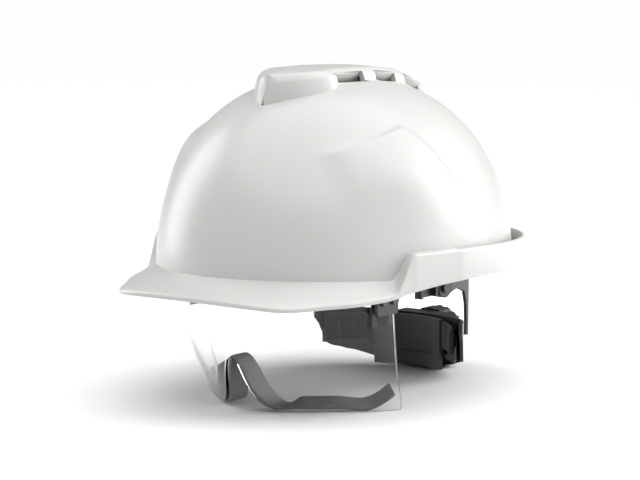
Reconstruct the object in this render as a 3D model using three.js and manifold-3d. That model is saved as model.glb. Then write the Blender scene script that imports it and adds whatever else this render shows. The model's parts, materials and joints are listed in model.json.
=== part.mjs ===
// Vented safety helmet with a swing-down eye shield and a ratchet nape adjuster.
// Millimetres. +Z is up, the brim points to -Y, the wearer's left is +X.
// The origin is the centre of the head opening, level with the foot of the dome.
import * as THREE from 'three';
import { mergeVertices } from 'three/addons/utils/BufferGeometryUtils.js';
import Module from 'manifold-3d';

const wasm = await Module();
wasm.setup();

// ---------------------------------------------------------------- driving dimensions
const DOME = { halfWidth: 104, front: 130, rear: 129, height: 118, plan: 1.95, roof: 2.1, wall: 2.3 };
const FOOT_SLOPE = -0.033; // height of the dome's foot per millimetre of Y
const SHELL_WALL = 2.6;
const BRIM_EDGE = 3; // thickness of the brim's edge
const BRIM_OUTLINE = [
  [0, -147, -9], [34, -145, -9.6], [54, -141.5, -10.4], [65, -137, -10.9], [72, -129, -10.8],
  [79, -116, -10.4], [86.5, -101, -10], [92.5, -86, -9.2], [97, -73, -7.8], [102.5, -57, -4.4],
]; // lower edge of the left half of the brim
const GUTTER = { halfWidth: 111, front: 134, rear: 134, plan: 2.05, wall: 2.4, depth: 13 };
const BLOCK = { rampStart: 53, rampEnd: 60.5, end: 79, dropEnd: 82, top: 18 }; // degrees from the front
const SLOT = { x: 102.4, y: -35, width: 6, length: 30, depth: 13, turn: -11.9 };
const CREST = [
  // station Y, half width at the foot, top height
  { y: -76, half: 4, top: 104 }, { y: -71, half: 9, top: 120.5 }, { y: -61, half: 20, top: 122 },
  { y: -46, half: 28.5, top: 123 }, { y: -38, half: 28.5, top: 123.4 }, { y: -33, half: 25, top: 123.6 },
  { y: -10, half: 27, top: 123.6 }, { y: 12, half: 27, top: 123 }, { y: 35, half: 26, top: 120.5 },
  { y: 55, half: 23, top: 115.5 }, { y: 75, half: 18, top: 106 }, { y: 90, half: 12, top: 92 },
  { y: 98, half: 8, top: 81 },
];
const VENTS = [{ from: -32, to: -7 }, { from: 5, to: 28 }, { from: 41, to: 61 }]; // along Y
const VENT = { height: 6.4, below: 1.6, reach: 14 };

const HEADBAND = { halfWidth: 68, front: 92, rear: 90, centre: -5, thickness: 1.6 };
const NAPE = { centre: 28, radius: 65, wing: 66.6, wall: 2 };
const NAPE_PIVOT = { y: 23, z: -14 };
const SHIELD = {
  halfWidth: 75.5, rearEdge: -38, front: -112, wall: 2.2, top: -2, bottom: -79.7,
  power: 2.2, lowPower: 1.27, ridgeStart: 15, ridgeEnd: 80, // the section's roundness and where it changes
  tuck: 12, tuckPower: 2.2, flare: 4, flareStart: 58, // how the lower part leans in
  edgeSection: -71.7, // height of the section that places the lower edge's features
};
const CORNER = { start: 50, end: 68, drop: 2.5 }; // the lower edge falls away towards the shield's corners
const NOSE = { round: 1, foot: 22, rise: 32.5, power: 2.4 }; // the arch: crown's roundness, foot X, height
const SEAL = {
  start: 0.05, wall: 2, clear: 0.6, sideDepth: 8, rise: 6,
  crownDepth: 13.5, crownEnd: 8, legDepth: 17, legEnd: 14, sideStart: 36, // round the nose, each up to an X
  foot: 1, endLift: 10, liftStart: 1.05, liftEnd: 1.5, // height over the lens's edge, and at its ends
  sideReach: 40, noseReach: 100, // how strongly it points to the back, against to the middle
};
const SHIELD_PIVOT = { y: -5, z: 0 };
const PINION = { teeth: 12, radius: 4.5, z: -63 };
const GAP = 0.3; // clearance between pieces that touch

// ---------------------------------------------------------------- materials
const finish = (color, roughness, metalness = 0) =>
  new THREE.MeshStandardMaterial({ color, roughness, metalness });
const GLOSS_WHITE = finish('#eeeeea', 0.2);
const SATIN_BLACK = finish('#17181a', 0.5);
const DARK_GREY = finish('#4a4c50', 0.6);
const CLEAR = finish('#e8eef0', 0.05);
const TEXTILE = finish('#26282c', 0.9);
const FOAM = finish('#2b2d31', 0.95);
const STEEL = finish('#a8abb0', 0.35, 0.9);
CLEAR.transparent = true;
CLEAR.opacity = 0.25;

// ---------------------------------------------------------------- geometry tools
const radians = THREE.MathUtils.degToRad;
const lerp = THREE.MathUtils.lerp;
const clamp01 = (value) => Math.min(1, Math.max(0, value));
const smooth = (value, low, high) => THREE.MathUtils.smoothstep(value, low, high);

function signedVolume(geometry) {
  const index = geometry.index.array;
  const [a, b, c] = [new THREE.Vector3(), new THREE.Vector3(), new THREE.Vector3()];
  let total = 0;
  for (let i = 0; i < index.length; i += 3) {
    a.fromBufferAttribute(geometry.attributes.position, index[i]);
    b.fromBufferAttribute(geometry.attributes.position, index[i + 1]);
    c.fromBufferAttribute(geometry.attributes.position, index[i + 2]);
    total += a.dot(b.cross(c)) / 6;
  }
  return total;
}

function flipFaces(geometry) {
  const index = geometry.index.array;
  for (let i = 0; i < index.length; i += 3) {
    [index[i], index[i + 1]] = [index[i + 1], index[i]];
  }
  return geometry;
}

// A geometry from points and triangles, with its faces pointing out.
function fromFaces(points, faces) {
  const geometry = new THREE.BufferGeometry();
  const numbers = points.flatMap((p) => [p.x, p.y, p.z]);
  geometry.setAttribute('position', new THREE.Float32BufferAttribute(numbers, 3));
  geometry.setIndex(faces);
  return signedVolume(geometry) < 0 ? flipFaces(geometry) : geometry;
}

function toManifold(source) {
  const bare = source.clone();
  bare.deleteAttribute('normal');
  bare.deleteAttribute('uv');
  const merged = mergeVertices(bare, 1e-4);
  return new wasm.Manifold(new wasm.Mesh({
    numProp: 3,
    vertProperties: new Float32Array(merged.attributes.position.array),
    triVerts: new Uint32Array(merged.index.array),
  }));
}

function toGeometry(manifold) {
  const mesh = manifold.getMesh();
  const geometry = new THREE.BufferGeometry();
  geometry.setAttribute('position', new THREE.BufferAttribute(new Float32Array(mesh.vertProperties), 3));
  geometry.setIndex(new THREE.BufferAttribute(new Uint32Array(mesh.triVerts), 1));
  return geometry;
}

const joined = (first, ...others) =>
  toGeometry(others.reduce((sum, other) => sum.add(toManifold(other)), toManifold(first)));
const cut = (first, ...tools) =>
  toGeometry(tools.reduce((rest, tool) => rest.subtract(toManifold(tool)), toManifold(first)));

function mirrored(geometry) {
  const copy = geometry.index ? geometry.clone() : mergeVertices(geometry);
  copy.scale(-1, 1, 1);
  return flipFaces(copy);
}

// A sheet of even thickness under surface(s, t), with s and t from 0 to 1. A skin sets it deeper.
function panel(surface, columns, rows, thickness, skin = 0) {
  const step = 1e-3;
  const points = [];
  for (const depth of [skin, skin + thickness]) {
    for (let i = 0; i <= columns; i += 1) {
      for (let j = 0; j <= rows; j += 1) {
        const [s, t] = [i / columns, j / rows];
        const along = surface(s + step, t).sub(surface(s - step, t));
        const across = surface(s, t + step).sub(surface(s, t - step));
        const normal = along.cross(across).normalize();
        points.push(surface(s, t).addScaledVector(normal, -depth));
      }
    }
  }
  const layer = (columns + 1) * (rows + 1);
  const at = (i, j, side) => side * layer + i * (rows + 1) + j;
  const faces = [];
  const quad = (a, b, c, d) => faces.push(a, b, c, a, c, d);
  for (let i = 0; i < columns; i += 1) {
    for (let j = 0; j < rows; j += 1) {
      quad(at(i, j, 0), at(i + 1, j, 0), at(i + 1, j + 1, 0), at(i, j + 1, 0));
      quad(at(i, j, 1), at(i, j + 1, 1), at(i + 1, j + 1, 1), at(i + 1, j, 1));
    }
    quad(at(i, 0, 1), at(i + 1, 0, 1), at(i + 1, 0, 0), at(i, 0, 0));
    quad(at(i, rows, 0), at(i + 1, rows, 0), at(i + 1, rows, 1), at(i, rows, 1));
  }
  for (let j = 0; j < rows; j += 1) {
    quad(at(0, j, 0), at(0, j + 1, 0), at(0, j + 1, 1), at(0, j, 1));
    quad(at(columns, j, 1), at(columns, j + 1, 1), at(columns, j + 1, 0), at(columns, j, 0));
  }
  return fromFaces(points, faces);
}

// A solid skinned over rings of points, with each end closed by a fan.
function skinned(rings) {
  const count = rings[0].length;
  const points = rings.flat();
  const faces = [];
  for (let i = 0; i < rings.length - 1; i += 1) {
    for (let j = 0; j < count; j += 1) {
      const [a, b] = [i * count + j, i * count + ((j + 1) % count)];
      faces.push(a, b, b + count, a, b + count, a + count);
    }
  }
  for (const [ring, last] of [[0, false], [rings.length - 1, true]]) {
    const centre = points.length;
    points.push(rings[ring].reduce((sum, p) => sum.clone().add(p), new THREE.Vector3()).divideScalar(count));
    for (let j = 0; j < count; j += 1) {
      const [a, b] = [ring * count + j, ring * count + ((j + 1) % count)];
      faces.push(...(last ? [centre, a, b] : [centre, b, a]));
    }
  }
  return fromFaces(points, faces);
}

// A box given by its lowest and highest corners.
function block(low, high) {
  const geometry = new THREE.BoxGeometry(high[0] - low[0], high[1] - low[1], high[2] - low[2]);
  return geometry.translate((low[0] + high[0]) / 2, (low[1] + high[1]) / 2, (low[2] + high[2]) / 2);
}

// A round bar along x or y. The centre is given in the two other directions.
function rod(axis, radius, from, to, first, second, sides = 20) {
  const geometry = new THREE.CylinderGeometry(radius, radius, to - from, sides);
  const middle = (from + to) / 2;
  if (axis === 'x') {
    return geometry.rotateZ(Math.PI / 2).translate(middle, first, second);
  }
  return geometry.translate(first, middle, second);
}

// A flat outline in the Y-Z plane, made thick from X = from to X = to.
function sideProfile(shape, from, to, curveSegments = 8) {
  const geometry = new THREE.ExtrudeGeometry(shape, { depth: to - from, bevelEnabled: false, curveSegments });
  const [x, y, z] = [new THREE.Vector3(1, 0, 0), new THREE.Vector3(0, 1, 0), new THREE.Vector3(0, 0, 1)];
  return geometry.applyMatrix4(new THREE.Matrix4().makeBasis(y, z, x)).translate(from, 0, 0);
}

// ---------------------------------------------------------------- shell
function planRadius(bearing, { halfWidth, front, rear, plan }, inset = 0) {
  const across = Math.abs(Math.sin(bearing)) / (halfWidth - inset);
  const length = Math.cos(bearing) > 0 ? front : rear;
  const along = Math.abs(Math.cos(bearing)) / (length - inset);
  return (across ** plan + along ** plan) ** (-1 / plan);
}

// The height of the dome over a point of the plan.
function domeHeight(x, y, inset = 0) {
  const bearing = Math.atan2(x, -y);
  const reach = Math.min(1, Math.hypot(x, y) / planRadius(bearing, DOME, inset));
  return FOOT_SLOPE * y + (DOME.height - inset) * (1 - reach ** DOME.wall) ** (1 / DOME.roof);
}

// A point of the dome in a half-plane through the axis, turned from the top (0) to the foot (90 degrees).
function domePoint(bearing, turn, inset) {
  const rise = Math.cos(turn) ** (2 / DOME.roof);
  const radius = planRadius(bearing, DOME, inset) * Math.sin(turn) ** (2 / DOME.wall);
  return [radius, FOOT_SLOPE * -radius * Math.cos(bearing) + (DOME.height - inset) * rise];
}

// The turn at which the dome passes a height.
function domeTurn(bearing, height, inset) {
  let [low, high] = [0, Math.PI / 2];
  for (let i = 0; i < 30; i += 1) {
    const middle = (low + high) / 2;
    [low, high] = domePoint(bearing, middle, inset)[1] > height ? [middle, high] : [low, middle];
  }
  return (low + high) / 2;
}

const brimCurve = new THREE.CatmullRomCurve3(BRIM_OUTLINE.map(([x, y, z]) => new THREE.Vector3(x, y, z)));
const brimSamples = brimCurve.getPoints(160);

function brimEdge(bearing) {
  const sampleBearing = (p) => Math.atan2(p.x, -p.y);
  const next = brimSamples.findIndex((p) => sampleBearing(p) >= bearing);
  if (next <= 0) {
    const end = next === 0 ? brimSamples[0] : brimSamples.at(-1);
    return [Math.hypot(end.x, end.y), end.z];
  }
  const [a, b] = [brimSamples[next - 1], brimSamples[next]];
  const share = (bearing - sampleBearing(a)) / (sampleBearing(b) - sampleBearing(a));
  return [lerp(Math.hypot(a.x, a.y), Math.hypot(b.x, b.y), share), lerp(a.z, b.z, share)];
}

const rimBottom = (y) => -0.5 - 0.0011 * Math.min(y - 5, 0) ** 2 - 0.05 * Math.max(y - 5, 0);
const gutterTop = (y) => BLOCK.top - 0.035 * Math.max(y + 10, 0);

// The gutter wall's radius in plan. It runs straight along the accessory block.
function wallRadius(bearing) {
  const [start, end] = [radians(BLOCK.rampEnd), radians(BLOCK.end)];
  if (bearing <= start || bearing >= end) {
    return planRadius(bearing, GUTTER);
  }
  const direction = (angle) => new THREE.Vector2(Math.sin(angle), -Math.cos(angle));
  const [a, b] = [start, end].map((angle) => direction(angle).multiplyScalar(planRadius(angle, GUTTER)));
  const along = b.clone().sub(a);
  return a.cross(along) / direction(bearing).cross(along);
}

const blend = (a, b, share) =>
  a.map((pair, i) => [lerp(pair[0], b[i][0], share), lerp(pair[1], b[i][1], share)]);

// The shell's edge below the dome, from the dome's foot outside to its foot inside.
function edgeSections(bearing) {
  const foot = domePoint(bearing, Math.PI / 2, 0);
  const [brimRadius, brimLow] = brimEdge(bearing);
  const inner = planRadius(bearing, DOME, SHELL_WALL);
  const innerFoot = FOOT_SLOPE * -inner * Math.cos(bearing);
  const brimHigh = brimLow + BRIM_EDGE;
  const slope = (share) =>
    [lerp(foot[0], brimRadius, share), lerp(foot[1], brimHigh, share) - Math.sin(Math.PI * share)];
  const brim = [foot, slope(0.3), slope(0.65), slope(0.92), [brimRadius, brimHigh - 0.6],
    [brimRadius, brimLow], [brimRadius - 2, brimLow + 0.2], [inner, innerFoot - SHELL_WALL]];

  const wall = wallRadius(bearing);
  const y = -wall * Math.cos(bearing);
  const [low, high] = [rimBottom(y), gutterTop(y)];
  const floor = high - GUTTER.depth;
  const onTop = domePoint(bearing, domeTurn(bearing, high, 0), 0);
  const under = [[wall, low], [wall - 2, low], [inner, low]];
  const slotBlock = [onTop, [lerp(onTop[0], wall, 0.35), high], [lerp(onTop[0], wall, 0.7), high],
    [wall - 1, high], [wall, high - 1], ...under];
  const onFloor = domePoint(bearing, domeTurn(bearing, floor, 0), 0);
  const gutter = [onFloor, [wall - GUTTER.wall, floor], [wall - GUTTER.wall, high], [wall - 0.8, high],
    [wall, high - 0.8], ...under];

  const degrees = THREE.MathUtils.radToDeg(bearing);
  const toBlock = clamp01((degrees - BLOCK.rampStart) / (BLOCK.rampEnd - BLOCK.rampStart));
  const toGutter = clamp01((degrees - BLOCK.end) / (BLOCK.dropEnd - BLOCK.end));
  return toGutter > 0 ? blend(slotBlock, gutter, toGutter) : blend(brim, slotBlock, toBlock);
}

function shellBearings() {
  const half = [0, 7, 13, 18, 22, 25, 27.5, 29.5, 31.5, 34, 38, 43, 48];
  half.push(53, 55.5, 58, 60.5, 65, 70, 75, 79, 82, 87);
  for (let degrees = 94; degrees < 180; degrees += 7.2) {
    half.push(degrees);
  }
  const left = half.map(radians);
  const right = left.slice(1).map((bearing) => -bearing).reverse();
  return [...left, Math.PI, ...right];
}

function domeAndRim() {
  const [outerRows, innerRows] = [13, 10];
  const bearings = shellBearings();
  const points = [];
  let perColumn = 0;
  for (const bearing of bearings) {
    const edge = edgeSections(Math.abs(bearing));
    const turn = domeTurn(bearing, edge[0][1], 0);
    const column = [];
    for (let i = 1; i < outerRows; i += 1) {
      column.push(domePoint(bearing, (turn * i) / outerRows, 0));
    }
    column.push(...edge);
    for (let i = innerRows; i > 0; i -= 1) {
      column.push(domePoint(bearing, (Math.PI / 2) * (i / innerRows), SHELL_WALL));
    }
    perColumn = column.length;
    const [sin, cos] = [Math.sin(bearing), Math.cos(bearing)];
    points.push(...column.map(([radius, z]) => new THREE.Vector3(radius * sin, -radius * cos, z)));
  }
  const [top, inside] = [points.length, points.length + 1];
  points.push(new THREE.Vector3(0, 0, DOME.height), new THREE.Vector3(0, 0, DOME.height - SHELL_WALL));
  const faces = [];
  bearings.forEach((_, i) => {
    const [a, b] = [i * perColumn, ((i + 1) % bearings.length) * perColumn];
    faces.push(top, b, a, inside, a + perColumn - 1, b + perColumn - 1);
    for (let j = 0; j < perColumn - 1; j += 1) {
      faces.push(a + j, b + j, b + j + 1, a + j, b + j + 1, a + j + 1);
    }
  });
  return fromFaces(points, faces);
}

// The raised crest over the crown, or with an inset the hollow inside it.
function crestBody(inset) {
  const rings = CREST.map(({ y, half, top }, i) => {
    const end = i === 0 ? 1 : i === CREST.length - 1 ? -1 : 0;
    const station = y + end * inset * 1.4;
    const foot = Math.max(1.5, half - inset);
    const shoulder = Math.max(1, foot - Math.min(5, (top - domeHeight(half, y)) * 0.4));
    const drop = inset > 0 ? 4 * SHELL_WALL : SHELL_WALL / 2;
    const under = [1, 0.5, 0, -0.5, -1].map((share) =>
      new THREE.Vector3(share * foot, station, domeHeight(share * foot, station) - drop));
    const high = Math.max(top - inset, domeHeight(0, station) - drop + 1);
    const over = [[-shoulder - 1, high - 2.5], [-shoulder + 1.5, high], [0, high + 0.6],
      [shoulder - 1.5, high], [shoulder + 1, high - 2.5]];
    return [...under, ...over.map(([x, z]) => new THREE.Vector3(x, station, z))];
  });
  return skinned(rings);
}

function crestAt(y) {
  const next = CREST.findIndex((station) => station.y >= y);
  const [a, b] = [CREST[next - 1], CREST[next]];
  const share = (y - a.y) / (b.y - a.y);
  return { half: lerp(a.half, b.half, share), top: lerp(a.top, b.top, share) };
}

function ventCut({ from, to }, side) {
  const middle = (from + to) / 2;
  const { half, top } = crestAt(middle);
  const tilt = Math.atan2(crestAt(to).top - crestAt(from).top, to - from);
  const opening = new THREE.BoxGeometry(VENT.reach, (to - from) / Math.cos(tilt), VENT.height);
  opening.rotateX(tilt);
  return opening.translate(side * (half - 1), middle, top - VENT.below - VENT.height / 2 - 1);
}

function accessorySlot(side) {
  const opening = new THREE.BoxGeometry(SLOT.width, SLOT.length, SLOT.depth + 6);
  opening.rotateZ(radians(side * SLOT.turn));
  return opening.translate(side * SLOT.x, SLOT.y, rimBottom(SLOT.y) + SLOT.depth / 2 - 3);
}

// ---------------------------------------------------------------- suspension keys and their sockets
const KEYS = { side: { bearing: 99.5, low: 30 }, rear: { bearing: 143, low: 18 } };
const SOCKET = { radial: 7, width: 24, height: 13, slot: 3, slotWidth: 18 };

// A box standing on a radius of the helmet: radial, sideways and height ranges.
function radialBox(bearing, radial, sideways, height) {
  const geometry = block([sideways[0], radial[0], height[0]], [sideways[1], radial[1], height[1]]);
  return geometry.rotateZ(Math.PI + radians(bearing));
}

function innerRadius(bearing, height) {
  const angle = radians(bearing);
  return domePoint(angle, domeTurn(angle, height, SHELL_WALL), SHELL_WALL)[0];
}

function socket({ bearing, low }, side) {
  const wall = innerRadius(bearing, low + SOCKET.height);
  const half = SOCKET.width / 2;
  const radial = [wall - SOCKET.radial, wall + 3.5];
  return radialBox(side * bearing, radial, [-half, half], [low, low + SOCKET.height]);
}

function socketSlot({ bearing, low }, side) {
  const inside = innerRadius(bearing, low + SOCKET.height) - SOCKET.radial;
  const half = SOCKET.slotWidth / 2;
  return radialBox(side * bearing, [inside + 2, inside + 2 + SOCKET.slot], [-half, half],
    [low - 1, low + SOCKET.height + 1]);
}

function suspensionKey({ bearing, low }, side) {
  const inside = innerRadius(bearing, low + SOCKET.height) - SOCKET.radial;
  const [tongue, head] = [SOCKET.slotWidth / 2 - GAP, SOCKET.width / 2];
  const tongueBody = radialBox(side * bearing, [inside + 2 + GAP, inside + 2 + SOCKET.slot - GAP],
    [-tongue, tongue], [low - 4, low + SOCKET.height - 1]);
  const headBody = radialBox(side * bearing, [inside, inside + 6], [-head, head], [low - 11, low - GAP]);
  return joined(headBody, tongueBody);
}

function shell() {
  const sockets = [];
  const slots = [];
  for (const side of [1, -1]) {
    for (const key of [KEYS.side, KEYS.rear]) {
      sockets.push(socket(key, side));
      slots.push(socketSlot(key, side));
    }
  }
  const vents = VENTS.flatMap((vent) => [ventCut(vent, 1), ventCut(vent, -1)]);
  const whole = joined(domeAndRim(), crestBody(0), ...sockets);
  return cut(whole, crestBody(SHELL_WALL), ...vents, ...slots, accessorySlot(1), accessorySlot(-1));
}

// ---------------------------------------------------------------- straps, pad and headband
function radialPoint(bearing, radius, z) {
  const angle = radians(bearing);
  return new THREE.Vector3(radius * Math.sin(angle), -radius * Math.cos(angle), z);
}

// A textile strap from a side key over the crown to the opposite rear key.
function crownStrap(side, crown) {
  const [width, thickness] = [18, 1.2];
  const start = innerRadius(KEYS.side.bearing, KEYS.side.low + SOCKET.height) - SOCKET.radial - 2;
  const end = innerRadius(KEYS.rear.bearing, KEYS.rear.low + SOCKET.height) - SOCKET.radial - 2;
  const path = new THREE.CatmullRomCurve3([
    radialPoint(side * KEYS.side.bearing, start, KEYS.side.low - 5),
    radialPoint(side * KEYS.side.bearing, start - 1, KEYS.side.low + 4),
    radialPoint(side * KEYS.side.bearing, start * 0.72, 72),
    new THREE.Vector3(side * 8, 12, crown),
    radialPoint(-side * 136, end * 0.55, 74),
    radialPoint(-side * KEYS.rear.bearing, end - 1, KEYS.rear.low + 12),
    radialPoint(-side * KEYS.rear.bearing, end, KEYS.rear.low - 4),
  ], false, 'centripetal');
  const up = new THREE.Vector3();
  return panel((s, t) => {
    const share = Math.min(1, Math.max(0, s));
    const point = path.getPointAt(share);
    const tangent = path.getTangentAt(share);
    up.copy(point).setZ(Math.max(6, point.z - 10)).normalize();
    const acrossStrap = tangent.clone().cross(up).normalize();
    return point.addScaledVector(tangent, (s - share) * 100).addScaledVector(acrossStrap, (t - 0.5) * width);
  }, 30, 1, thickness);
}

function crownPad() {
  const [radius, top, thickness] = [34, 82.5, 5];
  const profile = [[0, top - thickness], [12, top - thickness - 0.9], [24, top - thickness - 3.6],
    [31, top - 9], [radius, top - 8], [31, top - 6.3], [24, top - 3.6], [12, top - 0.9], [0, top]];
  const pad = new THREE.LatheGeometry(profile.map(([x, y]) => new THREE.Vector2(x, y)), 24);
  return pad.rotateX(Math.PI / 2).translate(0, 12, 0);
}

// A point on the headband's curve, with the bearing in degrees from the front.
function bandPoint(bearing, z, inset = 0) {
  const angle = radians(bearing);
  const length = Math.cos(angle) > 0 ? HEADBAND.front : HEADBAND.rear;
  const x = (HEADBAND.halfWidth - inset) * Math.sin(angle);
  return new THREE.Vector3(x, HEADBAND.centre - (length - inset) * Math.cos(angle), z);
}

const BAND_END = 112; // where each side of the headband stops, degrees from the front
const bandLow = (bearing) => lerp(-3, -4, smooth(Math.abs(bearing), 40, 100));
const bandHigh = (bearing) => lerp(27, 20, smooth(Math.abs(bearing), 50, 110));

function headband() {
  const strip = panel((s, t) => {
    const bearing = lerp(-BAND_END, BAND_END, s);
    return bandPoint(bearing, lerp(bandLow(bearing), bandHigh(bearing), t));
  }, 48, 1, HEADBAND.thickness);
  const lobes = [1, -1].map((side) => {
    const shape = new THREE.Shape();
    shape.moveTo(8, 0).lineTo(16, NAPE_PIVOT.z).absarc(NAPE_PIVOT.y, NAPE_PIVOT.z, 7, Math.PI, Math.PI * 2);
    shape.lineTo(30, 0).closePath();
    const lobe = sideProfile(shape, 62, 64.4);
    return side > 0 ? lobe : mirrored(lobe);
  });
  const holes = rod('x', 2.5, -80, 80, NAPE_PIVOT.y, NAPE_PIVOT.z, 16);
  return cut(joined(strip, ...lobes), holes);
}

function sweatband() {
  return panel((s, t) => bandPoint(lerp(-58, 58, s), lerp(-4, 29, t), HEADBAND.thickness + 0.8), 30, 2, 4);
}

// An arm from a side key's head in to the headband.
function sideHanger(side) {
  const { bearing, low } = KEYS.side;
  const outer = innerRadius(bearing, low + SOCKET.height) - SOCKET.radial - 2 * GAP - 1.4;
  const band = bandPoint(bearing, 0);
  const inner = Math.hypot(band.x, band.y) + GAP + 0.3;
  const half = 6;
  const plate = radialBox(side * bearing, [outer - 2, outer], [-half, half], [low - 11, low - 6.5]);
  const tongue = radialBox(side * bearing, [inner, outer], [-half, half], [low - 11, low - 9]);
  const foot = radialBox(side * bearing, [inner, inner + 2], [-half, half], [6, low - 9]);
  return joined(plate, tongue, foot);
}

// A flat stay from a rear key's head forward to the end of the headband.
function rearStay(side) {
  const { bearing, low } = KEYS.rear;
  const outer = innerRadius(bearing, low + SOCKET.height) - SOCKET.radial - 2 * GAP - 1.6;
  const from = radialPoint(side * bearing, outer, low - 8);
  const to = bandPoint(side * (BAND_END - 1), 10).add(new THREE.Vector3(side * 1.2, 0, 0));
  const toward = bandPoint(side * (BAND_END - 6.5), 10).add(new THREE.Vector3(side * 1.2, 0, 0));
  const path = new THREE.CatmullRomCurve3([
    from.clone().add(radialPoint(side * (bearing + 90), 7, 0)), from,
    from.clone().lerp(to, 0.5).add(new THREE.Vector3(side * 5, 2, 0)), to, toward,
  ]);
  return panel((s, t) => {
    const share = clamp01(s);
    const point = path.getPoint(share).addScaledVector(path.getTangent(share), (s - share) * 60);
    return point.setZ(point.z + lerp(-3, 3, t));
  }, 14, 1, side > 0 ? 1.2 : -1.2);
}

// ---------------------------------------------------------------- eye shield and its pivots
const CARRIER = { rail: 69.6, face: 75.2 }; // X of the rail's back and of the carrier's outer face

function shieldRail() {
  const [y, back] = [SHIELD_PIVOT.y, CARRIER.rail];
  const base = block([back, y - 9, -17], [back + 1.6, y + 9, 20]);
  const lips = [-9, 7].map((edge) => block([back + 1, y + edge, -17], [back + 5, y + edge + 2, 20]));
  return joined(base, ...lips);
}

function shieldCarrier() {
  const { y, z } = SHIELD_PIVOT;
  const body = block([CARRIER.rail + 1.6 + GAP, y - 6.6, z - 9], [CARRIER.face, y + 6.6, z + 9]);
  return cut(body, rod('x', 2.9, 60, 90, y, z, 20));
}

function shieldPivotPin() {
  const { y, z } = SHIELD_PIVOT;
  const shank = rod('x', 2.6, CARRIER.rail + 3, CARRIER.face + 4.2, y, z, 20);
  const head = rod('x', 6, CARRIER.face + 3.6, CARRIER.face + 5.4, y, z, 24);
  return joined(shank, head);
}

const ARM = { inner: SHIELD.halfWidth + 0.3, outer: SHIELD.halfWidth + 2.6 };
const ARM_SCREWS = [[-48.5, -12], [-59, -12]]; // Y and Z

function shieldArm() {
  const { y, z } = SHIELD_PIVOT;
  const shape = new THREE.Shape();
  shape.moveTo(y + 2, z + 8.8).absarc(y, z, 9, 1.35, -1.75, true);
  shape.lineTo(-36, -8.5).quadraticCurveTo(-43, -9.5, -43.5, -16);
  shape.lineTo(-43.5, -19).quadraticCurveTo(-43.5, -21, -46, -21);
  shape.lineTo(-62, -21).quadraticCurveTo(-65, -21, -65, -18).lineTo(-65, -12);
  shape.quadraticCurveTo(-64, -3, -54, -1).lineTo(-24, 4).closePath();
  const plate = sideProfile(shape, ARM.inner, ARM.outer);
  const holes = [[y, z, 2.9], ...ARM_SCREWS.map(([a, b]) => [a, b, 1.9])];
  return cut(plate, ...holes.map(([a, b, radius]) => rod('x', radius, 60, 90, a, b, 16)));
}

function armScrew([y, z]) {
  const shank = rod('x', 1.6, ARM.inner - 4.5, ARM.outer + 0.8, y, z, 12);
  return joined(shank, rod('x', 3.2, ARM.outer + GAP, ARM.outer + 1.8, y, z, 16));
}

// The shield's outer face. Its section comes to a rounder nose ridge and closer to the face lower down.
function shieldPoint(turn, z) {
  const power = lerp(SHIELD.power, SHIELD.lowPower, smooth(-z, SHIELD.ridgeStart, SHIELD.ridgeEnd));
  const front = SHIELD.front + SHIELD.tuck * clamp01(z / SHIELD.bottom) ** SHIELD.tuckPower;
  const rear = SHIELD.rearEdge + SHIELD.flare * smooth(-z, SHIELD.flareStart, -SHIELD.bottom);
  const depth = rear - front;
  const x = SHIELD.halfWidth * Math.sign(turn) * Math.abs(Math.sin(turn)) ** (2 / power);
  return new THREE.Vector3(x, rear - depth * Math.max(0, Math.cos(turn)) ** (2 / power), z);
}

// Height of the shield's lower edge: an arch over the nose, and nearly level outside it.
function shieldBottom(x) {
  const fall = clamp01((Math.hypot(x, NOSE.round) - NOSE.round) / NOSE.foot);
  const nose = NOSE.rise * (1 - fall) ** NOSE.power;
  return SHIELD.bottom + nose - CORNER.drop * smooth(Math.abs(x), CORNER.start, CORNER.end);
}

function shieldSurface(s, t) {
  const turn = lerp(-Math.PI / 2, Math.PI / 2, clamp01(s));
  const low = shieldBottom(shieldPoint(turn, SHIELD.edgeSection).x);
  return shieldPoint(turn, lerp(low, SHIELD.top, t));
}

function lens() {
  const sheet = panel((s, t) => shieldSurface(lerp(0.02, 0.98, s), t), 64, 7, SHIELD.wall);
  const holes = ARM_SCREWS.map(([y, z]) => rod('x', 1.9, -90, 90, y, z, 12));
  return cut(sheet, ...holes);
}

// The soft flange behind the shield's lower edge. It runs in towards the face and rises at its ends.
function sealPoint(s, t) {
  const turn = lerp(-Math.PI / 2, Math.PI / 2, clamp01(s));
  const base = shieldSurface(s, 0);
  const nose = 1 - smooth(Math.abs(base.x), SEAL.legEnd, SEAL.sideStart);
  const lift = SEAL.endLift * smooth(Math.abs(turn), SEAL.liftStart, SEAL.liftEnd);
  const edge = shieldPoint(turn, base.z + SEAL.foot + lift);
  const toBack = lerp(SEAL.sideReach, SEAL.noseReach, nose);
  const toFace = new THREE.Vector3(-base.x * (1 - nose), toBack, 0).normalize();
  const legDepth = lerp(SEAL.crownDepth, SEAL.legDepth, smooth(Math.abs(base.x), 0, SEAL.crownEnd));
  const depth = SHIELD.wall + SEAL.clear + t * lerp(SEAL.sideDepth, legDepth, nose);
  return edge.addScaledVector(toFace, depth).setZ(edge.z + t * SEAL.rise * (1 - nose));
}

function lowerSeal() {
  return panel((s, t) => sealPoint(lerp(SEAL.start, 1 - SEAL.start, s), t), 64, 2, SEAL.wall);
}

// ---------------------------------------------------------------- nape cradle and yokes
function napePoint(bearing, radius, z) {
  const angle = radians(bearing);
  return new THREE.Vector3(radius * Math.sin(angle), NAPE.centre + radius * Math.cos(angle), z);
}

// An upright strip round the nape, its outer face on the radius; low and high may vary with the bearing.
function napeArc([from, to], [low, high], radius, thickness, columns) {
  const height = (edge, bearing) => (typeof edge === 'function' ? edge(bearing) : edge);
  return panel((s, t) => {
    const bearing = lerp(from, to, s);
    return napePoint(bearing, radius, lerp(height(low, bearing), height(high, bearing), t));
  }, columns, 1, -thickness);
}

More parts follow.
